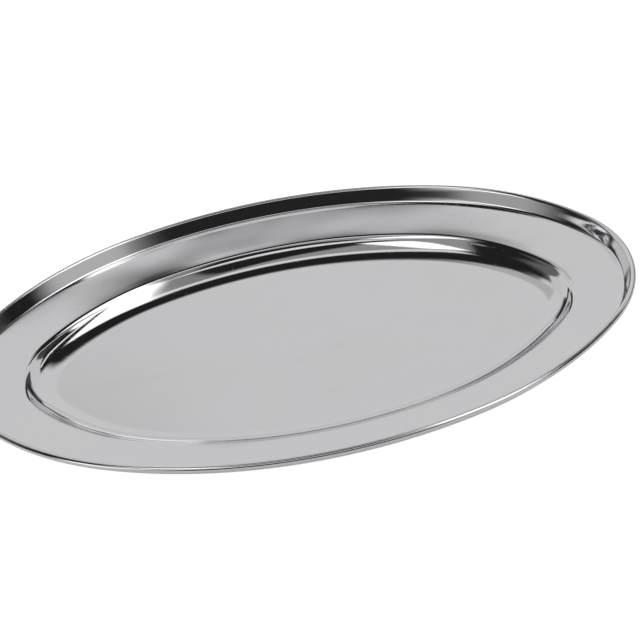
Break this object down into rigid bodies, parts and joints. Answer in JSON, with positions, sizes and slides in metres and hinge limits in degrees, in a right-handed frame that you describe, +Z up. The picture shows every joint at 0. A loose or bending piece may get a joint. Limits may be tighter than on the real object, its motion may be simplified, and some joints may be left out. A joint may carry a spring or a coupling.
{
  "type": "serving tray",
  "caption": "Oval serving tray pressed from polished stainless sheet, with a flat well, a sloping well wall, a wide plain flange and a raised rolled rim.",
  "frame": {"origin": "under the middle of the tray, on the surface it stands on", "axes": "X along the tray's length, Y across it, Z up"},
  "size_m": [0.4572, 0.2996, 0.0254],
  "materials": {
    "floor_steel": "polished stainless steel, slightly hazy, with fine scratches",
    "flange_steel": "polished stainless steel, slightly hazy, with soft polishing waves",
    "formed_steel": "mirror polished stainless steel"
  },
  "bodies": {
    "root": {"well_floor": "floor_steel", "well_wall": "formed_steel", "flange": "flange_steel", "rim_step": "formed_steel", "rolled_rim": "formed_steel"}
  },
  "joints": []
}
